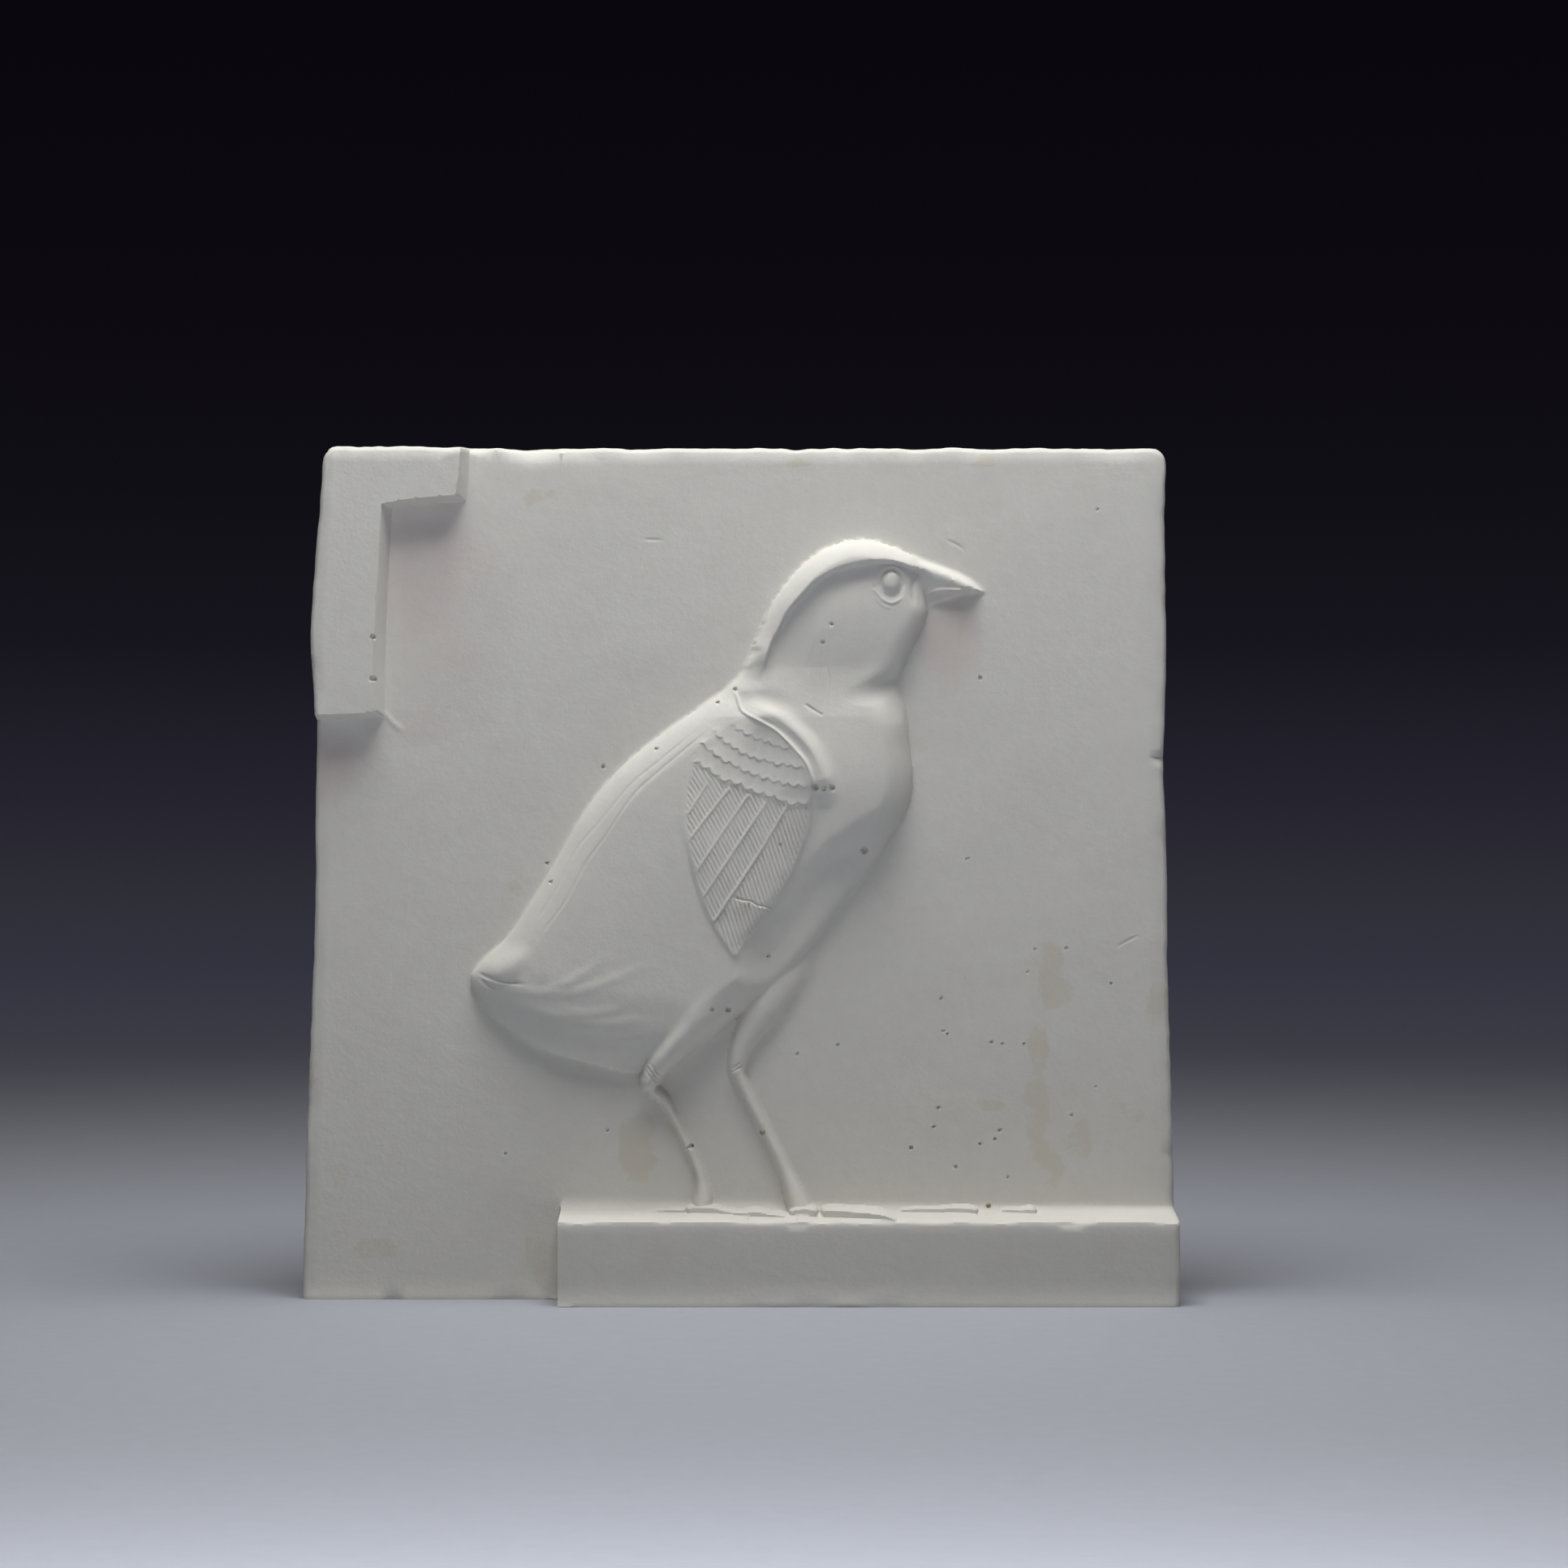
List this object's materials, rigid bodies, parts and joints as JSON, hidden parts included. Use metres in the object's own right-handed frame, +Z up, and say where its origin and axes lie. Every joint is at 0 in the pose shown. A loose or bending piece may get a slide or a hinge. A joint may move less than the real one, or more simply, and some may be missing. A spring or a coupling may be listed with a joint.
{
  "type": "plaster relief",
  "caption": "Upright cast plaster slab with a young ground bird in low relief on a raised ledge, and a corner of a raised border at the upper left.",
  "frame": {"origin": "at floor level, under the middle of the whole casting", "axes": "+Z up the slab, +X to the viewer's right, the relief faces -Y and the flat back faces +Y"},
  "size_m": [0.1769, 0.037, 0.1727],
  "materials": {
    "plaster": "bare cast plaster, dry and matte, with faint beige stains"
  },
  "bodies": {
    "root": {"plaster_relief": "plaster"}
  },
  "joints": []
}
